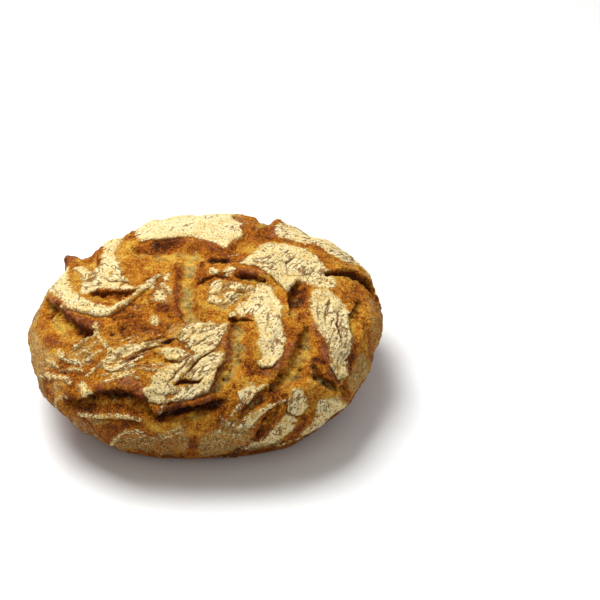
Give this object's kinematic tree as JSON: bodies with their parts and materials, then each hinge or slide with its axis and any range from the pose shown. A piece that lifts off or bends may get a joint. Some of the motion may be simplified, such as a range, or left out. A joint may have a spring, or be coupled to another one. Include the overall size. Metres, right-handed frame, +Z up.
{
  "type": "rye bread loaf",
  "caption": "Round rustic rye loaf, a low dome on a flat sole, with a torn, floured and deeply browned crust.",
  "frame": {"origin": "middle of the loaf's bounding box, on the plane that the sole rests on", "axes": "+Z up through the crown, +X to the right and +Y to the back of the view that shows the torn front"},
  "size_m": [0.2488, 0.2414, 0.0969],
  "materials": {
    "crust": "dry, matte and floured"
  },
  "bodies": {
    "root": {"loaf": "crust"}
  },
  "joints": []
}
